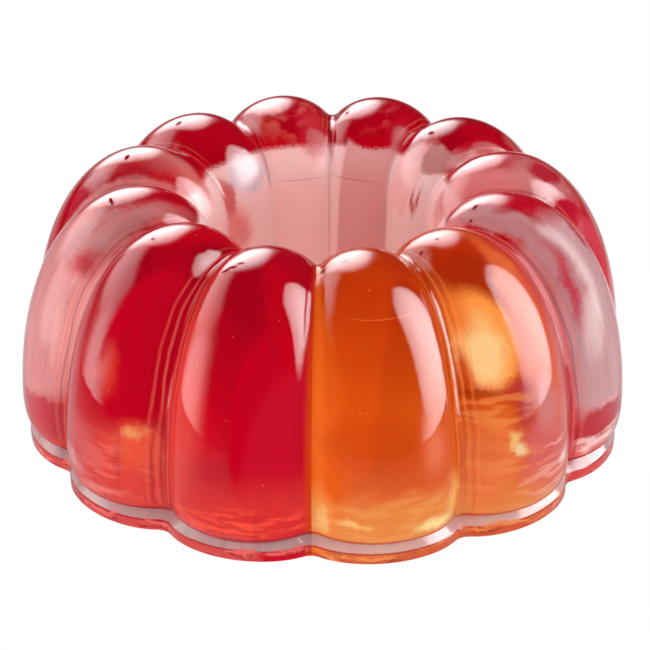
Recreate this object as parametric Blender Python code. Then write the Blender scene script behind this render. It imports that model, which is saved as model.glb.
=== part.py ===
"""A jelly turned out of a fluted ring mould: twelve rounded lobes on a shallow stepped foot.

Ten lobes are red jelly and two, side by side, are orange. Each flavour is one solid that runs
through the whole height of the ring, from the crest down to the foot, and the two meet on flat
radial faces that stand in the grooves between lobes.

Units are metres, +Z is up. The origin is on the ring's axis, at the level of its base, and the
groove where red meets orange faces -Y.
"""

import math

import bmesh
import bpy

MM = 0.001

# The ring
LOBES = 12
ORANGE_LOBES = 2
BODY_RADIUS = 90.0 * MM
HEIGHT = 77.5 * MM
CREST_RADIUS = 54.0 * MM
MOULD_GAP = 0.3 * MM

# The section through the middle of a lobe, as radii and heights
SHOULDER_HEIGHT = 15.0 * MM
UNDERCUT_RADIUS = 87.0 * MM
UNDERCUT_HEIGHT = 5.8 * MM
BORE_TOP_RADIUS = 31.5 * MM
BORE_TOP_HEIGHT = 55.0 * MM
BORE_BASE_RADIUS = 27.0 * MM
OUTER_FULLNESS = 2.1
INNER_FULLNESS = 2.0
HEEL_FULLNESS = 2.0

# The foot: a steep band above an upright rim
BAND_RUN = 1.3 * MM
RIM_HEIGHT = 3.2 * MM
RIM_ROUND = 0.5 * MM

# How far the grooves lie behind the lobes: square to the surface, and level in the heel
WALL_GROOVE = 7.4 * MM
CREST_GROOVE = 6.2 * MM
BORE_GROOVE = 2.5 * MM
FOOT_GROOVE = 5.5 * MM

# A lobe's cross-section: how round its arc is, and the share of it before the groove's fillet
LOBE_ARC = 0.75
FILLET_FROM = 0.88

# Mesh steps
HEEL_STEPS = 4
OUTER_STEPS = 11
INNER_STEPS = 9
BORE_STEPS = 2
HALF_LOBE_STEPS = 5

RED = (0.62, 0.005, 0.02, 1.0)
ORANGE = (0.80, 0.16, 0.01, 1.0)


def clear_scene():
    """Remove every object, so that the file holds the jelly alone."""
    for old in list(bpy.data.objects):
        bpy.data.objects.remove(old, do_unlink=True)


def quarter(steps, fullness):
    """Yield (across, up) along a quarter of a superellipse, from (1, 0) to (0, 1)."""
    for step in range(steps + 1):
        angle = math.pi / 2 * step / steps
        yield math.cos(angle) ** (2 / fullness), math.sin(angle) ** (2 / fullness)


def lobe_section():
    """Points (radius, height, groove depth) up the outer wall, over the crest, down the bore."""
    wall = BODY_RADIUS - CREST_RADIUS
    dome = HEIGHT - SHOULDER_HEIGHT
    heel = BODY_RADIUS - UNDERCUT_RADIUS
    rise = SHOULDER_HEIGHT - UNDERCUT_HEIGHT
    points = []
    for across, down in reversed(list(quarter(HEEL_STEPS, HEEL_FULLNESS))[1:]):
        points.append((UNDERCUT_RADIUS + heel * across, SHOULDER_HEIGHT - rise * down, WALL_GROOVE))
    for across, up in quarter(OUTER_STEPS, OUTER_FULLNESS):
        depth = CREST_GROOVE + (WALL_GROOVE - CREST_GROOVE) * across
        points.append((CREST_RADIUS + wall * across, SHOULDER_HEIGHT + dome * up, depth))
    lip = CREST_RADIUS - BORE_TOP_RADIUS
    drop = HEIGHT - BORE_TOP_HEIGHT
    for across, up in reversed(list(quarter(INNER_STEPS, INNER_FULLNESS))[:-1]):
        depth = CREST_GROOVE + (BORE_GROOVE - CREST_GROOVE) * across
        points.append((CREST_RADIUS - lip * across, BORE_TOP_HEIGHT + drop * up, depth))
    for step in range(1, BORE_STEPS + 1):
        share = step / BORE_STEPS
        radius = BORE_TOP_RADIUS + (BORE_BASE_RADIUS - BORE_TOP_RADIUS) * share
        points.append((radius, BORE_TOP_HEIGHT * (1 - share), BORE_GROOVE))
    return points


def inward(points, index):
    """The unit normal that points into the jelly at one point of the section."""
    before = points[max(index - 1, 0)]
    after = points[min(index + 1, len(points) - 1)]
    run = after[0] - before[0]
    rise = after[1] - before[1]
    length = math.hypot(run, rise)
    return -rise / length, run / length


def arc_depth(share):
    """How far a circular arc has dropped at a share of its half width."""
    return 1 - math.sqrt(1 - LOBE_ARC * share * share)


def groove_share(share):
    """0 on a lobe's ridge and 1 in the groove: an arc that ends in a rounded fillet."""
    share = abs(share)
    slope = LOBE_ARC * FILLET_FROM / math.sqrt(1 - LOBE_ARC * FILLET_FROM**2)
    fillet = 1 - FILLET_FROM
    deepest = arc_depth(FILLET_FROM) + slope * fillet / 2
    if share <= FILLET_FROM:
        return arc_depth(share) / deepest
    past = share - FILLET_FROM
    return (arc_depth(FILLET_FROM) + slope * (past - past * past / (2 * fillet))) / deepest


def foot_points(groove):
    """The foot's outline, from its underside up to the body, for one groove share."""
    radius = UNDERCUT_RADIUS + BAND_RUN - FOOT_GROOVE * groove
    return [
        (radius - RIM_ROUND, 0.0),
        (radius, RIM_ROUND),
        (radius, RIM_HEIGHT),
    ]


def section_at(share, ridge):
    """The closed outline (radius, height) at a share of a lobe's half width."""
    groove = groove_share(share)
    outline = foot_points(groove)
    last = len(ridge) - 1
    for index, (radius, height, depth) in enumerate(ridge):
        into_r, into_z = inward(ridge, index)
        if index < HEEL_STEPS:
            into_r, into_z = -1.0, 0.0
        elif index == last:
            into_z = 0.0
        outline.append((radius + into_r * depth * groove, height + into_z * depth * groove))
    return outline


def turned(radius, height, angle, aside):
    """A point of an outline set at an angle from -Y towards +X, moved aside square to it."""
    return (
        radius * math.sin(angle) + aside * math.cos(angle),
        -radius * math.cos(angle) + aside * math.sin(angle),
        height,
    )


def flavour(name, first_lobe, lobes, colour, collection):
    """Loft one flavour's solid through the outlines of its lobes and close both ends."""
    ridge = lobe_section()
    columns = []
    for lobe in range(first_lobe, first_lobe + lobes):
        for step in range(-HALF_LOBE_STEPS, HALF_LOBE_STEPS + 1):
            if step == -HALF_LOBE_STEPS and lobe > first_lobe:
                continue
            share = math.sin(math.pi / 2 * step / HALF_LOBE_STEPS)
            angle = math.tau * (lobe + 0.5 + share / 2) / LOBES
            columns.append((section_at(share, ridge), angle))

    shape = bmesh.new()
    rings = []
    for place, (outline, angle) in enumerate(columns):
        aside = 0.0
        if place == 0:
            aside = MOULD_GAP / 2
        elif place == len(columns) - 1:
            aside = -MOULD_GAP / 2
        rings.append([shape.verts.new(turned(r, z, angle, aside)) for r, z in outline])
    for here, there in zip(rings, rings[1:]):
        for index in range(len(here)):
            after = (index + 1) % len(here)
            shape.faces.new((here[index], there[index], there[after], here[after]))
    shape.faces.new(rings[0])
    shape.faces.new(reversed(rings[-1]))
    bmesh.ops.recalc_face_normals(shape, faces=shape.faces)
    bmesh.ops.triangulate(shape, faces=shape.faces)

    mesh = bpy.data.meshes.new(name)
    shape.to_mesh(mesh)
    shape.free()
    mesh.shade_smooth()
    mesh.set_sharp_from_angle(angle=math.radians(35))
    mesh.materials.append(jelly_material(name, colour))
    piece = bpy.data.objects.new(name, mesh)
    collection.objects.link(piece)
    return piece


def jelly_material(name, colour):
    """A wet, glossy gelatine of one colour."""
    material = bpy.data.materials.new(name)
    material.use_nodes = True
    shader = material.node_tree.nodes["Principled BSDF"]
    shader.inputs["Base Color"].default_value = colour
    shader.inputs["Roughness"].default_value = 0.08
    shader.inputs["Metallic"].default_value = 0.0
    return material


def build():
    """Make both flavours in a collection of their own."""
    clear_scene()
    collection = bpy.data.collections.new("moulded_jelly")
    bpy.context.scene.collection.children.link(collection)
    flavour("orange_jelly", 0, ORANGE_LOBES, ORANGE, collection)
    flavour("red_jelly", ORANGE_LOBES, LOBES - ORANGE_LOBES, RED, collection)


build()
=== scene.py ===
"""A jelly turned out of a fluted ring mould, dressed for the studio.

Ten of its twelve lobes are red gelatine and two, side by side, are orange. Units are metres, +Z is
up, and the groove where red meets orange faces -Y.
"""

import logging
import math
from dataclasses import dataclass, field
from enum import Enum

import bpy
import numpy as np
from bpy.types import Material, Node, NodeSocket, NodeTree, Object
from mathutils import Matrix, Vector


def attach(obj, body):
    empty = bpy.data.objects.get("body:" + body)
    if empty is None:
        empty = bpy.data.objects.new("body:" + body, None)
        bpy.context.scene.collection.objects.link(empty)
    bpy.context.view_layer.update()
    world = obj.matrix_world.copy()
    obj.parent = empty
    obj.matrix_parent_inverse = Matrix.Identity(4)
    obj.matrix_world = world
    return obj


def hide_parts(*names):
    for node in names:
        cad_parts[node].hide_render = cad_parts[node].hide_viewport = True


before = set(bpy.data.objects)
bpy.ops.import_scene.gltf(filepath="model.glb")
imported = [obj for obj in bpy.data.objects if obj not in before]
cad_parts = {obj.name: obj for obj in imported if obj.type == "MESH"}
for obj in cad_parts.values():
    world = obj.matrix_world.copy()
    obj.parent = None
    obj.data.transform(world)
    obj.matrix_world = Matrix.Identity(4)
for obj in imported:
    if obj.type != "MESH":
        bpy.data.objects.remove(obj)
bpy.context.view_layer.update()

MM = 0.001
LOG = logging.getLogger("moulded_jelly")


class Flavour(Enum):
    """The two gelatines in the ring, by the CAD node that each stands for."""

    RED = "red_jelly"
    ORANGE = "orange_jelly"


# --- Colour and node helpers ---


def linear(colour: str) -> tuple[float, float, float, float]:
    """Turn an sRGB hex colour into linear light.

    Args:
        colour: The colour as "#rrggbb".

    Returns:
        Linear red, green and blue, with an alpha of 1.
    """
    steps = [int(colour[i : i + 2], 16) / 255 for i in (1, 3, 5)]
    # The sRGB standard's curve: a straight foot below 0.04045, then a power of 2.4
    red, green, blue = (s / 12.92 if s <= 0.04045 else ((s + 0.055) / 1.055) ** 2.4 for s in steps)
    return red, green, blue, 1.0


def add_node(
    tree: NodeTree,
    kind: str,
    settings: dict[str | int, object] | None = None,
    links: dict[str | int, Node | NodeSocket] | None = None,
) -> Node:
    """Add one node with its settings and the links that feed it.

    Args:
        tree: The node tree that takes the node.
        kind: The node's type name, without the ShaderNode that all of them start with.
        settings: Node attributes, or input sockets by name or number, and their values.
        links: Input sockets by name or number, and what feeds each: an output socket, or a node
            by its first output.

    Returns:
        The new node.
    """
    node = tree.nodes.new("ShaderNode" + kind)
    for key, value in (settings or {}).items():
        if isinstance(key, str) and hasattr(node, key):
            setattr(node, key, value)
        else:
            node.inputs[key].default_value = value
    for key, source in (links or {}).items():
        if isinstance(source, Node):
            source = source.outputs[0]
        tree.links.new(source, node.inputs[key])
    return node


# --- The mould's shape ---


@dataclass(frozen=True)
class RingMould:
    """The fluted ring's form: a lobe's section, and how each groove sinks behind it."""

    lobes: int = 12
    body_radius: float = 90.0 * MM
    height: float = 77.5 * MM
    crest_radius: float = 54.0 * MM
    shoulder_height: float = 15.0 * MM
    undercut_radius: float = 87.0 * MM
    undercut_height: float = 5.8 * MM
    bore_top_radius: float = 31.5 * MM
    bore_top_height: float = 55.0 * MM
    bore_base_radius: float = 27.0 * MM
    heel_fullness: float = 2.0
    outer_fullness: float = 2.1
    inner_fullness: float = 2.0
    band_run: float = 1.3 * MM
    rim_height: float = 3.2 * MM
    rim_round: float = 0.5 * MM
    rim_start: float = 0.9 * MM
    wall_groove: float = 7.4 * MM
    crest_groove: float = 6.2 * MM
    bore_groove: float = 2.5 * MM
    foot_groove: float = 5.5 * MM
    lobe_arc: float = 0.75
    fillet_from: float = 0.88
    heel_steps: int = 10
    outer_steps: int = 56
    inner_steps: int = 36
    bore_steps: int = 14
    rim_steps: int = 3
    band_steps: int = 5

    @staticmethod
    def quarter(steps: int, fullness: float) -> tuple[np.ndarray, np.ndarray]:
        """Points along a quarter of a superellipse.

        Args:
            steps: How many steps the quarter takes.
            fullness: The superellipse's power; 2 is a plain ellipse.

        Returns:
            The shares across, from 1 to 0, and up, from 0 to 1.
        """
        angle = np.linspace(0.0, math.pi / 2, steps + 1)
        across = np.cos(angle).clip(0) ** (2 / fullness)
        return across, np.sin(angle).clip(0) ** (2 / fullness)

    def ridge(self) -> np.ndarray:
        """Draw the section through the middle of a lobe.

        Returns:
            Radius, height and groove depth up the wall, over the crest and down the bore.
        """
        across, down = (side[:0:-1] for side in self.quarter(self.heel_steps, self.heel_fullness))
        heel = (
            self.undercut_radius + (self.body_radius - self.undercut_radius) * across,
            self.shoulder_height - (self.shoulder_height - self.undercut_height) * down,
            self.wall_groove,
        )
        across, up = self.quarter(self.outer_steps, self.outer_fullness)
        wall = (
            self.crest_radius + (self.body_radius - self.crest_radius) * across,
            self.shoulder_height + (self.height - self.shoulder_height) * up,
            self.crest_groove + (self.wall_groove - self.crest_groove) * across,
        )
        across, up = (side[-2::-1] for side in self.quarter(self.inner_steps, self.inner_fullness))
        lip = (
            self.crest_radius - (self.crest_radius - self.bore_top_radius) * across,
            self.bore_top_height + (self.height - self.bore_top_height) * up,
            self.crest_groove + (self.bore_groove - self.crest_groove) * across,
        )
        share = np.linspace(0.0, 1.0, self.bore_steps + 1)[1:]
        bore = (
            self.bore_top_radius + (self.bore_base_radius - self.bore_top_radius) * share,
            self.bore_top_height * (1 - share),
            self.bore_groove,
        )
        parts = (np.stack(np.broadcast_arrays(*part), axis=1) for part in (heel, wall, lip, bore))
        return np.concatenate(list(parts))

    def groove_share(self, share: float) -> float:
        """How deep the groove is at a share of a lobe's half width.

        Args:
            share: From -1 in one groove, through 0 on the ridge, to 1 in the next groove.

        Returns:
            0 on the ridge, and 1 in a groove.
        """

        def arc(at: float) -> float:
            """How far the lobe's circular arc has dropped."""
            return 1 - math.sqrt(1 - self.lobe_arc * at * at)

        edge = self.fillet_from
        slope = self.lobe_arc * edge / math.sqrt(1 - self.lobe_arc * edge * edge)
        deepest = arc(edge) + slope * (1 - edge) / 2
        past = abs(share) - edge
        if past <= 0:
            return arc(abs(share)) / deepest
        return (arc(edge) + slope * (past - past * past / (2 * (1 - edge)))) / deepest

    def outline(self, share: float) -> np.ndarray:
        """The closed outline (radius, height) at a share of a lobe's half width.

        Args:
            share: From -1 in one groove, through 0 on the ridge, to 1 in the next groove.

        Returns:
            One row of radius and height for each point, from the foot's underside up.
        """
        groove = self.groove_share(share)
        ridge = self.ridge()
        along = np.gradient(ridge[:, :2], axis=0)
        along /= np.linalg.norm(along, axis=1)[:, None]
        inward = np.stack([-along[:, 1], along[:, 0]], axis=1)
        # Level in the heel and at the bore's base, so that the foot meets the body evenly
        inward[: self.heel_steps] = (-1.0, 0.0)
        inward[-1] = (1.0, 0.0)
        body = ridge[:, :2] + inward * ridge[:, 2:] * groove
        radius = self.undercut_radius + self.band_run - self.foot_groove * groove
        turn = np.linspace(0.0, math.pi / 2, self.rim_steps + 1)
        foot = np.stack(
            [
                radius - self.rim_round * (1 - np.sin(turn)),
                self.rim_round * (1 - np.cos(turn)),
            ],
            axis=1,
        )
        up = np.linspace(self.rim_start, self.rim_height, self.rim_steps + 1)
        rim = np.stack([np.full_like(up, radius), up], axis=1)
        rise = np.linspace(0.0, 1.0, self.band_steps + 1)[1:-1, None]
        band = rim[-1] + (body[0] - rim[-1]) * rise
        return np.concatenate([foot, rim, band, body])


@dataclass
class JellyBody:
    """One flavour's share of the ring, as a closed skin."""

    flavour: Flavour
    first_lobe: int
    lobe_count: int
    mould: RingMould = field(default_factory=RingMould)
    seam_gap: float = 0.03 * MM
    half_lobe_steps: int = 20
    sharp_from: float = math.radians(38)

    def build(self) -> Object:
        """Loft the skin through the outlines of its lobes and close it at both seams.

        Returns:
            The skin as an object in the scene.
        """
        outlines, angles = [], []
        steps = self.half_lobe_steps
        for lobe in range(self.first_lobe, self.first_lobe + self.lobe_count):
            for step in range(-steps, steps + 1):
                if step == -steps and lobe > self.first_lobe:
                    continue
                # Half even, half by sine: finer where the skin turns down into the grooves
                share = 0.5 * (math.sin(math.pi / 2 * step / steps) + step / steps)
                outlines.append(self.mould.outline(share))
                angles.append(math.tau * (lobe + 0.5 + share / 2) / self.mould.lobes)
        aside = np.zeros(len(angles))
        aside[0], aside[-1] = self.seam_gap / 2, -self.seam_gap / 2
        turn = np.array(angles)[:, None]
        radius = np.array(outlines)[..., 0]
        places = np.stack(
            [
                radius * np.sin(turn) + aside[:, None] * np.cos(turn),
                -radius * np.cos(turn) + aside[:, None] * np.sin(turn),
                np.array(outlines)[..., 1],
            ],
            axis=-1,
        )
        columns, rows = places.shape[:2]
        index = np.arange(columns * rows).reshape(columns, rows)
        after = np.roll(index, -1, axis=1)
        quads = np.stack([index[:-1], index[1:], after[1:], after[:-1]], axis=-1).reshape(-1, 4)
        faces = [list(map(int, quad)) for quad in quads]
        faces.append([int(i) for i in index[0][::-1]])
        faces.append([int(i) for i in index[-1]])
        mesh = bpy.data.meshes.new(self.flavour.value + "_skin")
        mesh.from_pydata(places.reshape(-1, 3).tolist(), [], faces)
        mesh.shade_smooth()
        mesh.set_sharp_from_angle(angle=self.sharp_from)
        # The two end faces, where the flavours meet, are marked so that light passes them
        seam = mesh.attributes.new("seam", "FLOAT", "FACE")
        values = np.zeros(len(faces), dtype=np.float32)
        values[-2:] = 1.0
        seam.data.foreach_set("value", values)
        mesh.validate()
        skin = bpy.data.objects.new(self.flavour.value + "_skin", mesh)
        bpy.context.scene.collection.objects.link(skin)
        return skin


# --- Finishes ---


Triple = tuple[float, float, float]
# What lies over the haze: where it is, its colour, and its haze, roughness and specular level
Layer = tuple[Node | NodeSocket, str, Triple | None]


class Outline(Enum):
    """How a patch's outline runs: ruled by the mould, grainy, loose as a blur, or in ripples."""

    MOULDED = 0
    GRAINED = 1
    LOOSE = 2
    RIPPLED = 3


SET, GRAIN, RIPPLES = Outline.MOULDED, Outline.GRAINED, Outline.RIPPLED

# A patch's half size in a direction in which it has no end
ANY = 4000.0


@dataclass(frozen=True)
class Patch:
    """A soft-edged area of the skin: its middle and half size as degrees, radius and height."""

    middle: Triple
    half: Triple
    colour: str
    share: float = 1.0
    haze: float = 0.8
    roughness: float = 0.03
    edge: float = 0.4
    outline: Outline = Outline.LOOSE
    gloss: float = 1.0

    @property
    def finish(self) -> Triple:
        """The share of haze, the roughness and the specular level that the patch brings."""
        return self.haze, self.roughness, self.gloss / 2

    def cover(self, tree: NodeTree, places: list[NodeSocket]) -> NodeSocket:
        """Add the nodes that find the patch.

        Args:
            tree: The material's node tree.
            places: For each kind of outline, degrees around the ring, radius and height in
                millimetres, as a vector; then the strength of the ripples.

        Returns:
            A socket that runs from the patch's share in its middle to 0 outside it.
        """
        # How many half sizes from the middle
        away = add_node(
            tree,
            "VectorMath",
            {
                "operation": "MULTIPLY_ADD",
                1: tuple(1 / half for half in self.half),
                2: tuple(-middle / half for middle, half in zip(self.middle, self.half)),
            },
            {0: places[min(self.outline.value, Outline.LOOSE.value)]},
        )
        out = add_node(tree, "VectorMath", {"operation": "LENGTH"}, {0: away})
        cover = add_node(
            tree,
            "MapRange",
            {
                "interpolation_type": "SMOOTHSTEP",
                "From Min": 1 + self.edge,
                "From Max": 1 - self.edge,
                "To Min": 0.0,
                "To Max": self.share,
            },
            {0: out.outputs["Value"]},
        )
        if self.outline is Outline.RIPPLED:
            cover = add_node(tree, "Math", {"operation": "MULTIPLY"}, {0: cover, 1: places[-1]})
        return cover.outputs[0]


def painted_pit(turn: float, radius: float, length: float = 1.1, width: float = 0.6) -> Patch:
    """A burst bubble on a lobe's crest: a small hollow, its shade painted dark and its highlight
    taken out.

    Args:
        turn: Degrees around the ring.
        radius: Its distance from the ring's axis, in millimetres.
        length: Half its length across the lobe, in degrees.
        width: Half its width along the lobe, in millimetres.

    Returns:
        The patch that marks it.
    """
    return Patch(
        (turn, radius, 76.0), (1.2 * length, 1.2 * width, 7.0), "#7d0a1a", 1, 1, 0.3, 0.3, SET, 0.0
    )


def foot(turn: float, colours: tuple[str, ...]) -> tuple[Patch, ...]:
    """The foot: a painted pale band of light over a painted bright rim, with a deep line of painted
    shade above, between and below them.

    Args:
        turn: Degrees around the ring to the middle of the flavour.
        colours: The five bands' colours, from the top down.

    Returns:
        One patch for each band.
    """
    bands = (
        (6.7, 0.6, 0.85, 0.4, SET),
        (4.6, 1.25, 0.95, 0.12, SET),
        (3.2, 0.25, 0.8, 0.6, SET),
        (2.3, 0.8, 0.9, 0.3, RIPPLES),
        (1.0, 0.7, 0.8, 0.6, RIPPLES),
    )
    return tuple(
        Patch((turn, 88.0, height), (ANY, 12.0, half), colour, share, edge=edge, outline=outline)
        for colour, (height, half, share, edge, outline) in zip(colours, bands)
    )


@dataclass(frozen=True)
class ClearGelatine:
    """Set gelatine, turned out of a smooth mould: clear and wet, with a slight haze in its body.

    To the eye it is deep coloured glass with a skin as smooth as the mould: sharp highlights that
    waver a little, light that sinks in and comes back coloured, and a dark line painted as shade
    where it turns away. Real gelatine's IOR is 1.34 to 1.37, and its wet skin's roughness is close
    to 0.
    """

    name: str
    absorbed: Triple
    # The haze's colour by height, lighter towards the foot with a painted glow
    haze_and_glow_by_height: tuple[tuple[float, str], ...]
    haze_reach: Triple
    patches: tuple[Patch, ...]
    # A deep colour for the streaks in the gelatine, and for the painted shade beside the grooves
    # and where the skin turns away
    streak_and_shade_colour: str
    # The colour of the painted highlights beside the grooves and the painted glints on the air
    # specks
    painted_glint_colour: str
    dye: str
    # How strongly the painted shade lines beside the grooves show
    shade_thread_share: float = 0.4
    streaks: float = 0.2
    haze: float = 0.66
    gloss: float = 1.0
    ior: float = 1.36
    roughness: float = 0.03
    haze_depth: float = 1.5 * MM
    # The skin's waves: about 4 mm across and a tenth of a millimetre deep
    waves: float = 260.0
    wave_depth: float = 0.1 * MM
    waviness: float = 0.35
    # A speck of air in some of the 4.3 mm cells, 0.3 mm in radius: coarser than real, to show
    specks: float = 230.0
    # The painted groove lines' drift along a groove, over about 17 mm
    drift: float = 60.0
    # What shakes an outline, by scale and by reach in degrees or millimetres: a grain of 0.6 mm,
    # coarser than real so that it shows, and blurs of 11 and 2.4 mm
    grains: tuple[tuple[float, float], ...] = ((1600.0, 1.4),)
    blurs: tuple[tuple[float, float], ...] = ((90.0, 6.0), (420.0, 2.0))
    # Stretched in degrees, radius and height: streaks run up a lobe, and ripples along the foot
    streak_stretch: Triple = (0.75, 0.04, 0.04)
    ripple_stretch: Triple = (0.13, 0.1, 0.42)
    # The radii in millimetres between which the hole's plain skin gives way to the wall's
    lip: tuple[float, float] = (36.0, 48.0)

    def material(self) -> Material:
        """Make the gelatine: a clear wet surface over a body that swallows some of the light.

        Returns:
            The material.
        """
        material = bpy.data.materials.new(self.name)
        material.use_nodes = True
        tree = material.node_tree
        tree.nodes.clear()
        places = self.ring_places(tree)
        colour = self.height_glow_colour(tree, places[Outline.LOOSE.value])
        finish = add_node(
            tree, "CombineXYZ", {"X": self.haze, "Y": self.roughness, "Z": self.gloss / 2}
        )
        # Most patches, the groove lines, the glints and the dark outline paint highlights,
        # reflections, glow and shade into the haze's colour
        layers = [(patch.cover(tree, places), patch.colour, patch.finish) for patch in self.patches]
        layers += self.painted_groove_lines(tree, places[0])
        layers += self.streaks_and_glints(tree, places[0])
        # The painted shade where the skin turns away
        layers.append((self.edge(tree, places[0]), self.streak_and_shade_colour, (1.0, self.roughness, 0.1)))
        # A Mix node's inputs 4 and 5 take vectors, and 6 and 7 colours
        for cover, tint, ends in layers:
            colour = add_node(
                tree, "Mix", {"data_type": "RGBA", 7: linear(tint)}, {0: cover, 6: colour}
            ).outputs[2]
            if ends:
                finish = add_node(
                    tree, "Mix", {"data_type": "VECTOR", 5: ends}, {0: cover, 4: finish}
                ).outputs[1]
        haze, rough, gloss = add_node(tree, "SeparateXYZ", links={0: finish}).outputs
        waves = add_node(
            tree, "TexNoise", {"Scale": self.waves, "Detail": 3.0}, {0: self.object_place(tree)}
        )
        bump = add_node(
            tree,
            "Bump",
            {"Strength": self.waviness, "Distance": self.wave_depth},
            {"Height": waves},
        )
        skin = {"Roughness": rough, "Normal": bump, "Specular IOR Level": gloss}
        clear = add_node(
            tree,
            "BsdfPrincipled",
            {"Base Color": linear(self.dye), "IOR": self.ior, "Transmission Weight": 1.0},
            skin,
        )
        hazy = add_node(
            tree,
            "BsdfPrincipled",
            {
                "IOR": self.ior,
                "Subsurface Weight": 1.0,
                "Subsurface Scale": self.haze_depth,
                "Subsurface Radius": self.haze_reach,
            },
            {"Base Color": colour, **skin},
        )
        body = add_node(tree, "MixShader", links={0: haze, 1: clear, 2: hazy})
        through = add_node(tree, "BsdfRefraction", {"IOR": 1.0, "Roughness": 0.0})
        seam = add_node(tree, "Attribute", {"attribute_name": "seam"}).outputs["Fac"]
        surface = add_node(tree, "MixShader", links={0: seam, 1: body, 2: through})
        # The colour least kept still keeps a twentieth, so that no channel is cut off
        density = max(self.absorbed) * 1.05
        kept = [1 - share / density for share in self.absorbed]
        volume = add_node(tree, "VolumeAbsorption", {"Color": (*kept, 1.0), "Density": density})
        add_node(tree, "OutputMaterial", links={"Surface": surface, "Volume": volume})
        return material

    @staticmethod
    def object_place(tree: NodeTree) -> NodeSocket:
        """The place on the skin, in metres from the ring's axis and base."""
        return add_node(tree, "TexCoord").outputs["Object"]

    def streaks_and_glints(self, tree: NodeTree, place: NodeSocket) -> list[Layer]:
        """Make faint streaks along each lobe, and the specks of air that set in the gelatine,
        painted as bright glints.

        Args:
            tree: The material's node tree.
            place: The exact place in the ring.

        Returns:
            The layers that lie over the haze.
        """
        along = add_node(
            tree, "VectorMath", {"operation": "MULTIPLY", 1: self.streak_stretch}, {0: place}
        )
        flow = add_node(tree, "TexNoise", {"Scale": 1.0, "Detail": 3.0}, {0: along})
        cells = add_node(
            tree, "TexVoronoi", {"Scale": self.specks}, {"Vector": self.object_place(tree)}
        ).outputs
        chosen = add_node(
            tree, "MapRange", {"From Min": 0.56, "From Max": 0.6}, {0: cells["Color"]}
        )
        # Painted glints on the specks of air
        air_glint = add_node(
            tree, "MapRange", {"From Min": 0.07, "From Max": 0.03}, {0: cells["Distance"]}
        )
        air_glint = add_node(tree, "Math", {"operation": "MULTIPLY"}, {0: air_glint, 1: chosen})
        deep = add_node(
            tree, "MapRange", {"From Min": 0.5, "From Max": 0.28, "To Max": self.streaks}, {0: flow}
        )
        outside = add_node(
            tree,
            "MapRange",
            {"From Min": self.lip[0], "From Max": self.lip[1]},
            {0: add_node(tree, "SeparateXYZ", links={0: place}).outputs[1]},
        )
        deep = add_node(tree, "Math", {"operation": "MULTIPLY"}, {0: deep, 1: outside})
        return [(deep, self.streak_and_shade_colour, None), (air_glint, self.painted_glint_colour, None)]

    def edge(self, tree: NodeTree, place: NodeSocket) -> Node:
        """Find where the skin turns away and the eye looks along it, to paint its colour darker
        there as shade.

        Args:
            tree: The material's node tree.
            place: The exact place in the ring.

        Returns:
            The node that gives the edge's strength.
        """
        facing = add_node(tree, "LayerWeight", {"Blend": 0.5}).outputs["Facing"]
        # The painted shade is strong on the wall, and faint in the hole, whose skin is painted as
        # lit through
        outside = add_node(
            tree,
            "MapRange",
            {"From Min": self.lip[0], "From Max": self.lip[1] - 2, "To Min": 0.15, "To Max": 0.8},
            {0: add_node(tree, "SeparateXYZ", links={0: place}).outputs[1]},
        )
        return add_node(
            tree,
            "MapRange",
            {"interpolation_type": "SMOOTHSTEP", "From Min": 0.62, "From Max": 0.9},
            {0: facing, "To Max": outside},
        )

    def ring_places(self, tree: NodeTree) -> list[NodeSocket]:
        """Find each place's degrees around the ring from -Y, radius and height in millimetres.

        Args:
            tree: The material's node tree.

        Returns:
            The exact place as a vector, the same with a fine grain, the same shaken loose, and the
            strength of ripples that run around the ring.
        """
        place = self.object_place(tree)
        axes = add_node(tree, "SeparateXYZ", links={0: place}).outputs
        front = add_node(tree, "Math", {"operation": "MULTIPLY", 1: -1.0}, {0: axes[1]})
        turn = add_node(tree, "Math", {"operation": "ARCTAN2"}, {0: axes[0], 1: front})
        turn = add_node(tree, "Math", {"operation": "DEGREES"}, {0: turn})
        flat = add_node(
            tree, "VectorMath", {"operation": "MULTIPLY", 1: (1 / MM, 1 / MM, 0.0)}, {0: place}
        )
        radius = add_node(tree, "VectorMath", {"operation": "LENGTH"}, {0: flat})
        height = add_node(tree, "Math", {"operation": "DIVIDE", 1: MM}, {0: axes[2]})
        exact = add_node(
            tree, "CombineXYZ", links={0: turn, 1: radius.outputs["Value"], 2: height}
        ).outputs[0]
        places = [exact]
        for octaves in (self.grains, self.blurs):
            where = places[-1]
            for scale, reach in octaves:
                noise = add_node(tree, "TexNoise", {"Scale": scale, "Detail": 1.0}, {0: place})
                shift = add_node(
                    tree,
                    "VectorMath",
                    {"operation": "MULTIPLY_ADD", 1: (reach,) * 3, 2: (-reach / 2,) * 3},
                    {0: noise.outputs["Color"]},
                )
                where = add_node(
                    tree, "VectorMath", {"operation": "ADD"}, {0: where, 1: shift}
                ).outputs[0]
            places.append(where)
        along = add_node(
            tree, "VectorMath", {"operation": "MULTIPLY", 1: self.ripple_stretch}, {0: exact}
        )
        ripples = add_node(
            tree, "TexNoise", {"Scale": 1.0, "Detail": 2.0, "Distortion": 0.3}, {0: along}
        )
        strength = add_node(
            tree,
            "MapRange",
            {"interpolation_type": "SMOOTHSTEP", "From Min": 0.45, "From Max": 0.6},
            {0: ripples},
        )
        return [*places, strength.outputs[0]]

    def painted_groove_lines(self, tree: NodeTree, place: NodeSocket) -> list[Layer]:
        """Paint fine lines of highlight and shade that run beside every groove.

        Args:
            tree: The material's node tree.
            place: The exact place in the ring.

        Returns:
            The layers that lie over the haze.
        """
        turn, radius, height = add_node(tree, "SeparateXYZ", links={0: place}).outputs
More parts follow.
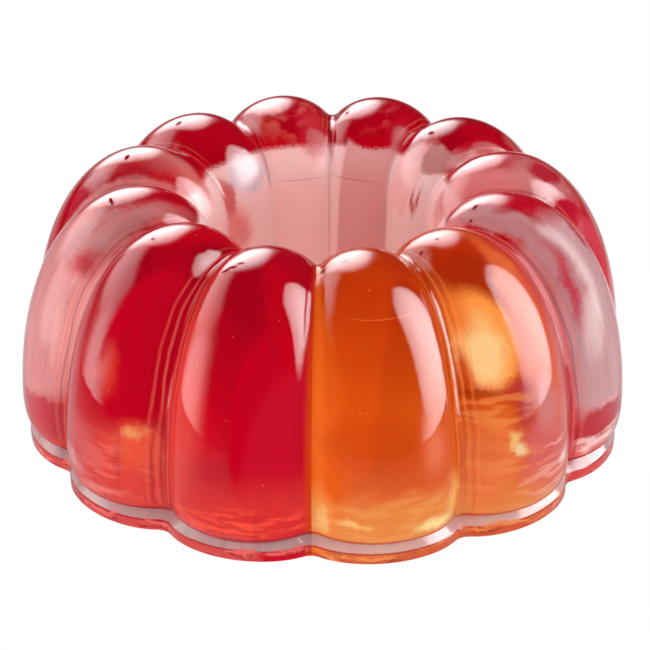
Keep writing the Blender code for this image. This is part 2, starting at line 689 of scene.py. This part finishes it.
        # Degrees from the nearest groove: the grooves are 30 degrees apart
        aside = add_node(tree, "Math", {"operation": "PINGPONG", 1: 15.0}, {0: turn})
        near = add_node(
            tree,
            "MapRange",
            {"interpolation_type": "SMOOTHSTEP", "From Min": 4.2, "From Max": 1.5},
            {0: aside},
        )
        # None beside the front seam, in the hole or on the foot
        from_seam = add_node(tree, "Math", {"operation": "ABSOLUTE"}, {0: turn})
        for distance, start, stop in (
            (from_seam, 5.0, 8.0),
            (radius, *self.lip),
            (height, 7.0, 9.0),
        ):
            beyond = add_node(
                tree, "MapRange", {"From Min": start, "From Max": stop}, {0: distance}
            )
            near = add_node(tree, "Math", {"operation": "MULTIPLY"}, {0: near, 1: beyond})
        drift = add_node(
            tree, "TexNoise", {"Scale": self.drift, "Detail": 2.0}, {0: self.object_place(tree)}
        )
        # A thread every 1.6 degrees, which is 2 mm on the wall, bent by the drift
        phase = add_node(tree, "Math", {"operation": "MULTIPLY_ADD", 1: 4.0}, {0: aside, 2: drift})
        phase = add_node(tree, "Math", {"operation": "MULTIPLY_ADD", 1: 6.0}, {0: drift, 2: phase})
        wave = add_node(tree, "Math", {"operation": "SINE"}, {0: phase})
        layers = []
        # Painted highlight lines, then painted shade lines
        for tint, start, share in (
            (self.painted_glint_colour, 0.1, 0.5),
            (self.streak_and_shade_colour, -0.4, self.shade_thread_share),
        ):
            line = add_node(
                tree,
                "MapRange",
                {
                    "interpolation_type": "SMOOTHSTEP",
                    "From Min": start,
                    "From Max": math.copysign(1.0, start),
                    "To Max": share,
                },
                {0: wave},
            )
            line = add_node(tree, "Math", {"operation": "MULTIPLY"}, {0: line, 1: near})
            layers.append((line, tint, None))
        return layers

    def height_glow_colour(self, tree: NodeTree, place: NodeSocket) -> NodeSocket:
        """Colour the haze by height: deep at the crest, with a glow painted low down, where the
        table would light the foot.

        Args:
            tree: The material's node tree.
            place: The place whose third part is the height in millimetres.

        Returns:
            The colour socket.
        """
        span = 80.0
        height = add_node(tree, "SeparateXYZ", links={0: place}).outputs[2]
        share = add_node(tree, "Math", {"operation": "DIVIDE", 1: span}, {0: height})
        ramp = add_node(tree, "ValToRGB", links={0: share})
        stops = ramp.color_ramp.elements
        while len(stops) < len(self.haze_and_glow_by_height):
            stops.new(1.0)
        for stop, (millimetres, colour) in zip(stops, self.haze_and_glow_by_height):
            stop.position = millimetres / span
            stop.color = linear(colour)
        return ramp.outputs[0]


# --- Studio ---


@dataclass(frozen=True)
class Softbox:
    """One soft light, by the part of the sky that it fills as the jelly sees it, in degrees."""

    azimuth: float
    elevation: float
    half_width: float
    half_height: float
    radiance: float
    fall: float
    edge: float
    squareness: float

    def shine(self, tree: NodeTree, azimuth: NodeSocket, elevation: NodeSocket) -> Node:
        """Add the softbox to the sky.

        Args:
            tree: The world's node tree.
            azimuth: The direction's angle from +Y towards +X, in degrees.
            elevation: Its angle above the horizon, in degrees.

        Returns:
            The node that gives the softbox's light in that direction.
        """
        powers = []
        for angle, middle, half in (
            (azimuth, self.azimuth, self.half_width),
            (elevation, self.elevation, self.half_height),
        ):
            off = add_node(tree, "Math", {"operation": "SUBTRACT", 1: middle}, {0: angle})
            share = add_node(tree, "Math", {"operation": "DIVIDE", 1: half}, {0: off})
            size = add_node(tree, "Math", {"operation": "ABSOLUTE"}, {0: share})
            power = {"operation": "POWER", 1: self.squareness}
            powers.append(add_node(tree, "Math", power, {0: size}))
        total = add_node(tree, "Math", {"operation": "ADD"}, {0: powers[0], 1: powers[1]})
        out = add_node(tree, "Math", {"operation": "POWER", 1: 1 / self.squareness}, {0: total})
        window = add_node(
            tree,
            "MapRange",
            {
                "interpolation_type": "SMOOTHSTEP",
                "From Min": 1 + self.edge,
                "From Max": 1 - self.edge,
            },
            {0: out},
        )
        # The lamp inside is brightest in its middle
        spread = add_node(tree, "Math", {"operation": "POWER", 1: 2.0}, {0: out})
        level = add_node(
            tree,
            "MapRange",
            {"To Min": self.radiance, "To Max": self.radiance * (1 - self.fall)},
            {0: spread},
        )
        return add_node(tree, "Math", {"operation": "MULTIPLY"}, {0: window, 1: level})


@dataclass
class Studio:
    """A white light table under soft light, and the camera in front of it.

    What mirror reflections see, what passes through the jelly and what lights its haze are set
    apart from each other, as are the white floor and backdrop that the camera sees.
    """

    azimuth: float = 2.378
    elevation: float = 27.83
    distance: float = 0.8098
    lens: float = 151.2
    sensor: float = 36.0
    aim_height: float = 28.27 * MM
    aim_aside: float = 0.32 * MM
    table: float = 240.0 * MM
    table_sides: int = 96
    table_drop: float = 0.2 * MM
    surround: float = 0.03
    soft_light: float = 1.12
    passing_light: float = 2.4
    backdrop: float = 1.0
    # The table's light by distance from its middle, in millimetres
    table_by_radius: tuple[tuple[float, float], ...] = (
        (0.0, 0.6),
        (60.0, 0.45),
        (86.0, 0.6),
        (115.0, 0.6),
        (180.0, 0.45),
        (250.0, 0.12),
        (340.0, 0.03),
    )
    softboxes: tuple[Softbox, ...] = (
        Softbox(87.0, 23.0, 30.0, 37.0, 19.0, fall=0.6, edge=0.08, squareness=3.5),
        Softbox(-19.0, 29.0, 23.0, 28.0, 11.5, fall=0.85, edge=0.2, squareness=2.5),
        Softbox(102.0, -10.0, 22.0, 15.0, 7.0, fall=0.9, edge=0.4, squareness=2.0),
        Softbox(-92.0, 1.0, 22.0, 24.0, 6.0, fall=0.5, edge=0.5, squareness=3.0),
        Softbox(-66.0, 24.0, 34.0, 20.0, 4.4, fall=0.5, edge=0.25, squareness=3.0),
        Softbox(0.0, -24.0, 75.0, 18.0, 0.9, fall=0.5, edge=0.2, squareness=3.0),
    )

    def build(self) -> None:
        """Set up the floor, the surrounding light, the softboxes and the camera."""
        self.floor()
        self.world()
        self.camera()
        bpy.context.scene.view_settings.view_transform = "Standard"

    def floor(self) -> None:
        """Lay the round white light table."""
        turns = np.linspace(0.0, math.tau, self.table_sides, endpoint=False)
        rim = [
            (self.table * math.cos(turn), self.table * math.sin(turn), -self.table_drop)
            for turn in turns
        ]
        mesh = bpy.data.meshes.new("floor")
        mesh.from_pydata(rim, [], [list(range(len(rim)))])
        mesh.materials.append(self.light_table())
        floor = bpy.data.objects.new("floor", mesh)
        bpy.context.scene.collection.objects.link(floor)

    def light_table(self) -> Material:
        """Make frosted white acrylic lit from below.

        To the eye it is even white. Mirrored in the jelly, it is dimmer away from its middle.

        Returns:
            The material.
        """
        material = bpy.data.materials.new("frosted_acrylic_lit")
        # Its light is even, so rays find it without being aimed at it
        material.cycles.emission_sampling = "NONE"
        material.use_nodes = True
        tree = material.node_tree
        tree.nodes.clear()
        span = 400.0
        place = add_node(tree, "TexCoord").outputs["Object"]
        radius = add_node(tree, "VectorMath", {"operation": "LENGTH"}, {0: place})
        share = add_node(
            tree, "Math", {"operation": "DIVIDE", 1: span * MM}, {0: radius.outputs["Value"]}
        )
        ramp = add_node(tree, "ValToRGB", links={0: share})
        stops = ramp.color_ramp.elements
        while len(stops) < len(self.table_by_radius):
            stops.new(1.0)
        for stop, (millimetres, level) in zip(stops, self.table_by_radius):
            stop.position = millimetres / span
            stop.color = (level, level, level, 1.0)
        # Brighter behind the jelly
        behind = add_node(
            tree,
            "MapRange",
            {"From Min": -0.04, "From Max": 0.1, "To Min": 1.0, "To Max": 2.2},
            {0: add_node(tree, "SeparateXYZ", links={0: place}).outputs[1]},
        )
        mirrored = add_node(tree, "Math", {"operation": "MULTIPLY"}, {0: behind, 1: ramp})
        path = add_node(tree, "LightPath").outputs
        level = add_node(
            tree,
            "Mix",
            {"data_type": "FLOAT", 2: self.soft_light},
            {0: path["Is Glossy Ray"], 3: mirrored},
        )
        for kind, light in (
            ("Is Transmission Ray", self.passing_light),
            ("Is Camera Ray", self.backdrop),
        ):
            level = add_node(
                tree, "Mix", {"data_type": "FLOAT", 3: light}, {0: path[kind], 2: level}
            )
        glow = add_node(tree, "Emission", {"Color": (1, 1, 1, 1)}, {"Strength": level})
        add_node(tree, "OutputMaterial", links={"Surface": glow})
        return material

    def world(self) -> None:
        """Light the dark studio with the softboxes, against a white backdrop."""
        world = bpy.data.worlds.new("studio")
        world.use_nodes = True
        # The light is even, so rays find it without being aimed at it
        world.cycles.sampling_method = "NONE"
        tree = world.node_tree
        tree.nodes.clear()
        way = add_node(tree, "TexCoord").outputs["Generated"]
        axes = add_node(tree, "SeparateXYZ", links={0: way}).outputs
        turn = add_node(tree, "Math", {"operation": "ARCTAN2"}, {0: axes[0], 1: axes[1]})
        rise = add_node(tree, "Math", {"operation": "ARCSINE"}, {0: axes[2]})
        azimuth, elevation = (
            add_node(tree, "Math", {"operation": "DEGREES"}, {0: angle}).outputs[0]
            for angle in (turn, rise)
        )
        light, *others = (box.shine(tree, azimuth, elevation) for box in self.softboxes)
        for shine in others:
            light = add_node(tree, "Math", {"operation": "MAXIMUM"}, {0: light, 1: shine})
        light = add_node(tree, "Math", {"operation": "ADD", 1: self.surround}, {0: light})
        mirrored = add_node(tree, "Background", {"Color": (1, 1, 1, 1)}, {"Strength": light})
        path = add_node(tree, "LightPath").outputs
        level = add_node(
            tree,
            "Mix",
            {"data_type": "FLOAT", 2: self.soft_light, 3: self.passing_light},
            {0: path["Is Transmission Ray"]},
        )
        level = add_node(
            tree,
            "Mix",
            {"data_type": "FLOAT", 3: self.backdrop},
            {0: path["Is Camera Ray"], 2: level},
        )
        even = add_node(tree, "Background", {"Color": (1, 1, 1, 1)}, {"Strength": level})
        # Two shaders, so that the softboxes are worked out only for rays that mirror them
        only_mirrored = add_node(
            tree,
            "Math",
            {"operation": "GREATER_THAN"},
            {0: path["Is Glossy Ray"], 1: path["Is Transmission Ray"]},
        )
        sky = add_node(tree, "MixShader", links={0: only_mirrored, 1: even, 2: mirrored})
        add_node(tree, "OutputWorld", links={"Surface": sky})
        bpy.context.scene.world = world

    def camera(self) -> None:
        """Place the camera and make it the scene's."""
        azimuth, elevation = math.radians(self.azimuth), math.radians(self.elevation)
        away = Vector(
            (
                math.sin(azimuth) * math.cos(elevation),
                -math.cos(azimuth) * math.cos(elevation),
                math.sin(elevation),
            )
        )
        aside = Vector((math.cos(azimuth), math.sin(azimuth), 0.0))
        data = bpy.data.cameras.new("camera")
        data.lens = self.lens
        data.sensor_width = self.sensor
        data.clip_start = 0.05
        data.clip_end = 20.0
        camera = bpy.data.objects.new("camera", data)
        aim = Vector((0.0, 0.0, self.aim_height)) + aside * self.aim_aside
        camera.location = aim + away * self.distance
        camera.rotation_euler = away.to_track_quat("Z", "Y").to_euler()
        bpy.context.scene.collection.objects.link(camera)
        bpy.context.scene.camera = camera


# --- The two flavours ---


# The finish of a patch of painted deep shade: clear, sharply edged and without gloss, so that no
# highlight shows
SHADE_FINISH = (1.0, 1.0, 0.03, 0.12, SET, 0.0)

RED_PATCHES = (
    # The bore: painted pale light, as if lit through from behind, with painted shade in places
    Patch((0, 25, 30), (ANY, 40, 42), "#ffdcd9", 0.95, 0.85, 0.4, 0.03, GRAIN),
    Patch((161, 32, 36), (14, 30, 58), "#d7a5a3", 0.9, 0.85, 0.4, 0.08, SET),
    Patch((160, 48, 76), (18, 30, 6.6), "#b20020", 1.0, 0.66, 0.03, 0.1, GRAIN),
    Patch((177.4, 33, 44), (1.9, 9, 22), "#ffd8d4", 0.8, 0.9, 0.4, 0.4, SET),
    Patch((180, 33, 48), (0.9, 8, 20), "#e09492", 0.6, 0.9, 0.4, 0.6, SET),
    Patch((-126, 33, 50), (6.5, 7, 6), "#dc5c5a", 0.7, 1.0, 0.3, 0.6),
    Patch((-149.6, 38, 65.5), (0.9, 8, 6), "#a01428", 0.9, 1.0, 0.2, 0.6, SET),
    # The lobe at -15 degrees: painted crimson shade in its heart, with its highlight taken out, and
    # a painted lighter flank and foot
    Patch((-25, 84, 42), (4.5, ANY, 32), "#f05046", 0.75, edge=0.5, outline=SET),
    Patch((-9.8, 80, 38), (4.8, ANY, 26), "#c20320", *SHADE_FINISH),
    Patch((0.4, 80, 40), (3.4, ANY, 25), "#be0a1e", *SHADE_FINISH),
    Patch((-4, 80, 24), (8, ANY, 31), "#c6102a", *SHADE_FINISH),
    Patch((-8, 88, 15), (14, 20, 9), "#d83632", 0.8, 1.0, 0.03, 0.7, SET, 0.3),
    Patch((-12, 88, 12), (13, 14, 5), "#ff5c3c", 0.6, 1.0, outline=RIPPLES),
    Patch((0, 80, 30), (1.1, ANY, 46), "#dc4614", 0.9, 1.0, 0.03, 0.7, SET, 0.0),
    # The lobe at -45 degrees: painted shade with its highlight taken out, and a painted glow low in
    # its front
    Patch((-36.5, 84, 54), (8, ANY, 19), "#be0420", 1.0, 1.0, 0.03, 0.15, SET, 0.0),
    Patch((-37, 84, 40), (5.5, ANY, 8), "#be0520", 1.0, 1.0, 0.03, 0.3, SET, 0.0),
    Patch((-42, 84, 46), (2, ANY, 5.5), "#e84426", 0.6, edge=0.8),
    Patch((-37, 86, 21), (9, ANY, 11), "#e64b3c", 0.9),
    Patch((-35, 86, 27), (4, ANY, 6), "#f5643c", 0.8, edge=0.6),
    Patch((-34.6, 86, 30.5), (2.4, ANY, 1.8), "#ffaa6e", 0.9, edge=0.8),
    Patch((-42, 88, 19), (12, ANY, 9), "#f5786e", 0.6, outline=RIPPLES),
    Patch((-43, 90, 10.5), (4, 12, 1.6), "#ff9691", 0.7, edge=0.8),
    Patch((-48, 86, 22), (5, ANY, 10), "#dc5f64", 0.7),
    Patch((-54, 86, 34), (4, ANY, 30), "#cd505a", 0.7),
    Patch((-52, 88, 15), (4, 12, 2.5), "#f5beb9", 0.7, edge=0.8),
    # The lobe at -75 degrees: a painted pale reflection, with painted deep shade at its edge and
    # foot
    Patch((-70, 80, 48), (14, 30, 31), "#e69b9b", 0.95, 0.85, 0.14, 0.15, gloss=0.5),
    Patch((-62.5, 78, 46), (2.6, 12, 16), "#f0aaa6", 0.9, 1.0, 0.14, 0.6, gloss=0.3),
    Patch((-66, 62, 70), (5, 20, 9), "#c39292", 0.8),
    Patch((-65, 73, 64), (3, 10, 3.5), "#c81e32", 0.8, edge=0.8),
    Patch((-70, 55, 77.5), (4, 20, 1.6), "#b4142a", 0.8, edge=0.8),
    Patch((-66, 90, 15), (9, 12, 6.5), "#cd3c4b", 0.9, edge=0.12),
    Patch((-79, 90, 13.5), (8, 12, 5), "#d05660", 0.9, edge=0.2),
    # The lobes further back on that side, with painted pale reflections and painted shade, and the
    # painted broken light on the crests behind
    Patch((-102, 50, 74), (6, 22, 12), "#d7827d", 0.85),
    Patch((-95, 72, 65), (3.5, 5, 7), "#af0a24", 0.95, 1.0, gloss=0.0),
    Patch((-99, 84, 45), (6, 12, 20), "#b90f28", 0.8, 1.0, gloss=0.3),
    Patch((-91, 60, 68), (3, 24, 14), "#e1a0a0", 0.85),
    Patch((-98, 56, 75.5), (4.5, 10, 2.4), "#b40a23", 0.9, edge=0.8),
    Patch((-136, 35.5, 64.5), (11, 8, 6.5), "#dcc6ce", 0.95, 0.95, 0.2, 0.3),
    Patch((-123, 36, 60), (3, 12, 6), "#d75a5f", 0.8),
    Patch((-165, 50, 74), (12, 11, 7), "#dc6e64", 0.8, outline=RIPPLES),
    Patch((163, 50, 73), (8, 9, 6), "#d2505a", 0.5, outline=RIPPLES),
    Patch((92, 64, 70), (12, 14, 9), "#e6aaaa", 0.5, outline=RIPPLES),
    # The lobes from 75 degrees on: painted pale reflections on the flanks under painted deep shade
    # on the crests, and painted glints on the foot
    Patch((70, 80, 48), (15, 34, 31), "#cda5a8", 0.95, 0.85, 0.2, 0.15, gloss=0.3),
    Patch((65.5, 72, 62), (4.2, 20, 13), "#bc8184", 1.0, 1.0, 0.2, gloss=0.0),
    Patch((65.6, 55, 75), (5.4, 12.5, 6.5), "#ba7f81", 1.0, 1.0, 0.2, 0.15, gloss=0.0),
    Patch((66, 75, 59), (1.2, 14, 10), "#be3246", 0.9, 1.0, edge=0.8, gloss=0.0),
    Patch((72, 58, 77.5), (7, 8, 1.4), "#b4142a", 0.9, edge=0.8),
    Patch((79.4, 74.5, 65), (2.8, 10, 10), "#b91e37", 0.95, 1.0, gloss=0.4),
    Patch((72, 90, 15), (14, 12, 6.5), "#be3241", 0.9, edge=0.12),
    Patch((71, 90, 22.5), (9, 12, 0.7), "#f0a5a5", 0.7, edge=0.4),
    Patch((69, 88, 10.5), (10, 12, 2.6), "#e6a8a2", 0.85, 1.0, edge=0.5),
    Patch((68, 88, 11), (10, 12, 3.4), "#ffdcd6", 0.7, 1.0, outline=RIPPLES),
    Patch((98, 48, 72), (9, 26, 14), "#dc9191", 0.9),
    Patch((92.6, 72, 64.5), (5, 6, 7), "#b4142d", 1.0, 1.0, 0.1, 0.3, gloss=0.0),
    Patch((94, 82, 52), (4, 10, 16), "#c23a48", 1.0, 1.0, 0.1, 0.3, gloss=0.0),
    Patch((99.6, 66, 73.5), (3.2, 8, 4.5), "#ae1028", 0.95, 1.0, 0.05, 0.3),
    Patch((122, 46, 72), (3, 5, 4), "#e6b4b9", 0.8),
    Patch((103, 50, 77), (4, 9, 2.2), "#be1e32", 0.9, edge=0.8),
    Patch((109, 62, 72), (4.5, 12, 9), "#b9142d", 0.9),
    Patch((137, 40, 62), (9, 12, 13), "#f2bcba", 0.9, 0.95, edge=0.2),
    Patch((143.6, 36, 62), (3, 8, 9), "#f6bab8", 0.85, 1.0, 0.3, 0.4, SET),
    Patch((60, 80, 36), (1.6, 40, 60), "#be3c4b", 0.95, 1.0, 0.1, 0.5, SET, 0.4),
    Patch((129.2, 33, 60), (0.8, 6, 3), "#b43444", 0.9, 1.0, 0.2, 0.8, GRAIN),
    Patch((127.6, 33.4, 57.5), (0.9, 6, 2.4), "#b43444", 0.9, 1.0, 0.2, 0.8, GRAIN),
    Patch((125.8, 33.8, 60.4), (0.8, 6, 3.2), "#b43444", 0.8, 1.0, 0.2, 0.8, GRAIN),
    Patch((180, 52, 70), (1.6, 14, 9), "#8c0a1e", 0.9, edge=0.6),
    Patch((-180, 52, 70), (1, 14, 9), "#8c0a1e", 0.9, edge=0.6),
    Patch((-173, 44, 71), (6.5, 9, 9), "#be1e32", 0.8, 1.0, 0.1, gloss=0.0),
    Patch((152.5, 48, 72.5), (5, 8, 7), "#b90f23", 0.8, 1.0, 0.1, gloss=0.0),
    Patch((122.5, 52, 73), (3.5, 9, 6), "#b90f23", 0.8, 1.0, 0.1, gloss=0.0),
    Patch((126.5, 40, 71), (6.5, 5.5, 4.5), "#be8280", 1.0, 1.0, 0.2, 0.2, gloss=0.0),
    Patch((120.8, 45.5, 72.5), (2.2, 6, 4), "#e6b0b4", 0.8),
    Patch((126.5, 69, 70), (4, 4, 4), "#c86464", 0.8),
    # The foot's painted light and shade
    *foot(0.0, ("#aa1428", "#cdb0b0", "#aa1423", "#ff7d78", "#a50f1e")),
    # Painted shade: a deep line over the top of the pale band in front
    Patch((-13, 88, 5.9), (9, 12, 0.55), "#cf3038", 0.8, edge=0.5, outline=SET),
    # Pits on the crests, their shade painted
    painted_pit(-47.3, 61.7, 0.6, 0.4),
    painted_pit(-73.5, 62.2, 1.8, 0.45),
    painted_pit(-101.2, 59.3, 1.2, 0.6),
    painted_pit(-129.6, 58.8, 1.1, 0.6),
    painted_pit(177.9, 50.6, 1.0, 0.8),
    painted_pit(174.3, 50.3, 0.7, 0.7),
    painted_pit(138.2, 46.0, 1.1, 0.7),
    painted_pit(69.5, 46.4, 1.2, 0.6),
    painted_pit(63.6, 47.2, 0.5, 0.4),
    painted_pit(-23.2, 61.9, 1.0, 0.5),
    painted_pit(-21.6, 61.0, 1.3, 0.5),
    painted_pit(-19.8, 59.7, 1.0, 0.4),
    Patch((166, 33, 61.3), (11, 9, 0.25), "#a85058", 0.5, 0.8, 0.4, 0.6, SET),
    Patch((-166, 33, 61), (12, 9, 0.2), "#c07c84", 0.5, 0.8, 0.4, 0.6, SET),
)
RED_GELATINE = ClearGelatine(
    "red_gelatine_set",
    absorbed=(4.0, 110.0, 100.0),
    # Lighter towards the foot: a painted glow of the table's light
    haze_and_glow_by_height=(
        (2.0, "#e85c58"),
        (8.0, "#ec4a3c"),
        (16.0, "#e43438"),
        (26.0, "#d41a30"),
        (45.0, "#d60326"),
        (74.0, "#b20020"),
    ),
    haze_reach=(1.0, 0.1, 0.1),
    streak_and_shade_colour="#a0081c",
    painted_glint_colour="#f07868",
    dye="#ff8c84",
    patches=RED_PATCHES,
)
ORANGE_PATCHES = (
    # The bore: painted pale light, as if lit through from behind
    Patch((0, 25, 30), (ANY, 40, 42), "#ffe0c8", 0.95, 0.85, 0.4, 0.03, GRAIN),
    # The lobe at 15 degrees: painted deep shade with its highlight taken out, painted lighter
    # beside the front groove, and painted yellow light in its foot
    Patch((0, 80, 36), (6, ANY, 36.5), "#d0500e", *SHADE_FINISH),
    Patch((0, 80, 32), (6.5, ANY, 30), "#e6641a", 0.9, 1.0, 0.03, 0.4, SET, 0.0),
    Patch((1.2, 80, 36), (1.3, ANY, 28), "#f07022", 0.9, 1.0, 0.03, 0.7, SET, 0.0),
    Patch((1.4, 88, 12), (2.4, ANY, 9), "#ff9c50", 0.9, 1.0, 0.1, 0.6, SET, 0.5),
    Patch((15, 62, 68), (8, 20, 0.15), "#ff9a50", 0.4, outline=SET),
    Patch((12, 84, 36), (8, ANY, 9), "#d24b0f", 0.6),
    Patch((15, 90, 12), (14, 14, 8), "#ff9b46", 0.7, edge=0.6),
    Patch((15, 90, 14), (13, 14, 7), "#ffb468", 0.45, outline=RIPPLES),
    Patch((7.5, 90, 13), (3, 10, 1), "#ffd08a", 0.7, 1.0, edge=0.8),
    Patch((23, 90, 10), (3.4, 10, 1.4), "#ffe2a0", 0.9, 1.0, edge=0.8),
    Patch((27, 90, 17), (1.3, 10, 7), "#ffd488", 0.7, 1.0, edge=0.8),
    Patch((1.8, 88, 12), (1, 12, 4), "#ffcb86", 0.7, 1.0, edge=0.8),
    # The lobe at 45 degrees: a painted yellow window of light under a crest in painted shade, the
    # red lobe behind painted on one side, and painted glints in its foot
    Patch((22.6, 86, 34), (1.9, ANY, 6.5), "#f28a66", 0.7, edge=0.8, outline=SET),
    Patch((37, 58, 75.5), (9, ANY, 7.5), "#b43008", 0.9),
    Patch((48, 72, 67), (4, ANY, 9), "#fa822d", 0.8),
    Patch((54, 70, 66), (3.5, ANY, 14), "#dc3214", 0.8),
    Patch((57.5, 84, 44), (6.5, ANY, 40), "#cd505a", 0.95),
    Patch((57, 90, 6), (9, 14, 16), "#cd5f5a", 0.95, 1.0),
    Patch((60, 80, 36), (2.2, 40, 60), "#c8505a", 0.95, 1.0, 0.1, 0.5, SET, 0.4),
    Patch((48, 88, 26), (8, ANY, 14), "#dc6a69", 0.9, gloss=0.8),
    Patch((35, 86, 24), (5, ANY, 14), "#f08242", 0.8),
    Patch((41, 82, 43), (4, ANY, 4), "#c83c32", 0.8, edge=0.6),
    Patch((36.6, 78, 57.5), (6.2, ANY, 11.8), "#ffa04b", 0.95, 1.0, 0.03, 0.2, GRAIN),
    Patch((35.6, 78, 54.5), (4.2, ANY, 8), "#ffcd91", 0.95, 1.0, 0.03, 0.6),
    Patch((47.5, 80, 54), (5.5, ANY, 22), "#dc6446", 0.85, 0.95, 0.05, 0.3, SET, 0.65),
    Patch((46.6, 88, 37), (2.6, ANY, 6.5), "#d68c8c", 0.8, edge=0.7, outline=SET),
    Patch((32.4, 70, 64.5), (2.6, ANY, 5), "#ec8030", 0.8, 1.0, 0.03, 0.7, GRAIN),
    Patch((31.6, 80, 47.5), (1.3, ANY, 7.5), "#c64a0c", 0.9, 1.0, 0.03, 0.5, SET, 0.3),
    Patch((41.2, 87, 39.5), (2.4, ANY, 6.5), "#b23034", 0.85, 1.0, edge=0.6, gloss=0.4),
    Patch((33, 82, 44.5), (4, ANY, 1.4), "#b4460f", 0.9, edge=0.8),
    Patch((36, 84, 39), (6, ANY, 6), "#ffaa5a", 0.5, outline=RIPPLES),
    Patch((38.5, 86, 30.5), (1.2, ANY, 2.6), "#ffd282", 0.9, edge=0.7),
    Patch((39.8, 86, 27), (1, ANY, 2.2), "#fff0b9", 0.9, edge=0.7),
    Patch((37, 86, 20), (8, ANY, 10), "#ffa064", 0.4, outline=RIPPLES),
    Patch((48, 88, 14), (7, ANY, 7), "#ffbeaa", 0.55, outline=RIPPLES),
    Patch((51.5, 88, 18.5), (1.6, ANY, 1.6), "#ffe6e1", 0.9, edge=0.7),
    Patch((48, 90, 24.8), (3, 12, 0.5), "#f5beb4", 0.8, edge=0.6),
    # Pits on the crests, their shade painted
    painted_pit(39.6, 51.5, 0.5, 0.4),
    painted_pit(33.6, 51.5, 0.6, 0.5),
    painted_pit(8.4, 54.3, 0.4, 0.3),
    painted_pit(2.1, 52.7, 0.8, 0.7),
    # The foot's painted light and shade
    *foot(15.0, ("#c84614", "#e6c3be", "#b4320f", "#ffa05a", "#aa370a")),
)
ORANGE_GELATINE = ClearGelatine(
    "orange_gelatine_set",
    absorbed=(3.0, 30.0, 130.0),
    # Lighter towards the foot: a painted glow of the table's light
    haze_and_glow_by_height=(
        (2.0, "#e06a40"),
        (8.0, "#ffa052"),
        (16.0, "#ff8c40"),
        (24.0, "#ec6a24"),
        (45.0, "#e86412"),
        (74.0, "#be380a"),
    ),
    haze_reach=(1.0, 0.4, 0.1),
    streak_and_shade_colour="#b43a0a",
    painted_glint_colour="#ff9a50",
    dye="#ffb464",
    shade_thread_share=0.2,
    streaks=0.05,
    patches=ORANGE_PATCHES,
)


def main() -> None:
    """Build the studio and the jelly, and report each piece."""
    logging.basicConfig(level=logging.INFO, format="%(name)s: %(message)s")
    Studio().build()
    LOG.info("studio: floor, light and camera are up")
    for flavour, first, count, finish in (
        (Flavour.ORANGE, 0, 2, ORANGE_GELATINE),
        (Flavour.RED, 2, 10, RED_GELATINE),
    ):
        skin = JellyBody(flavour, first, count).build()
        skin.data.materials.append(finish.material())
        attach(skin, "root")
        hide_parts(flavour.value)
        LOG.info("%s: %d faces", skin.name, len(skin.data.polygons))


if __name__ == "__main__":
    main()
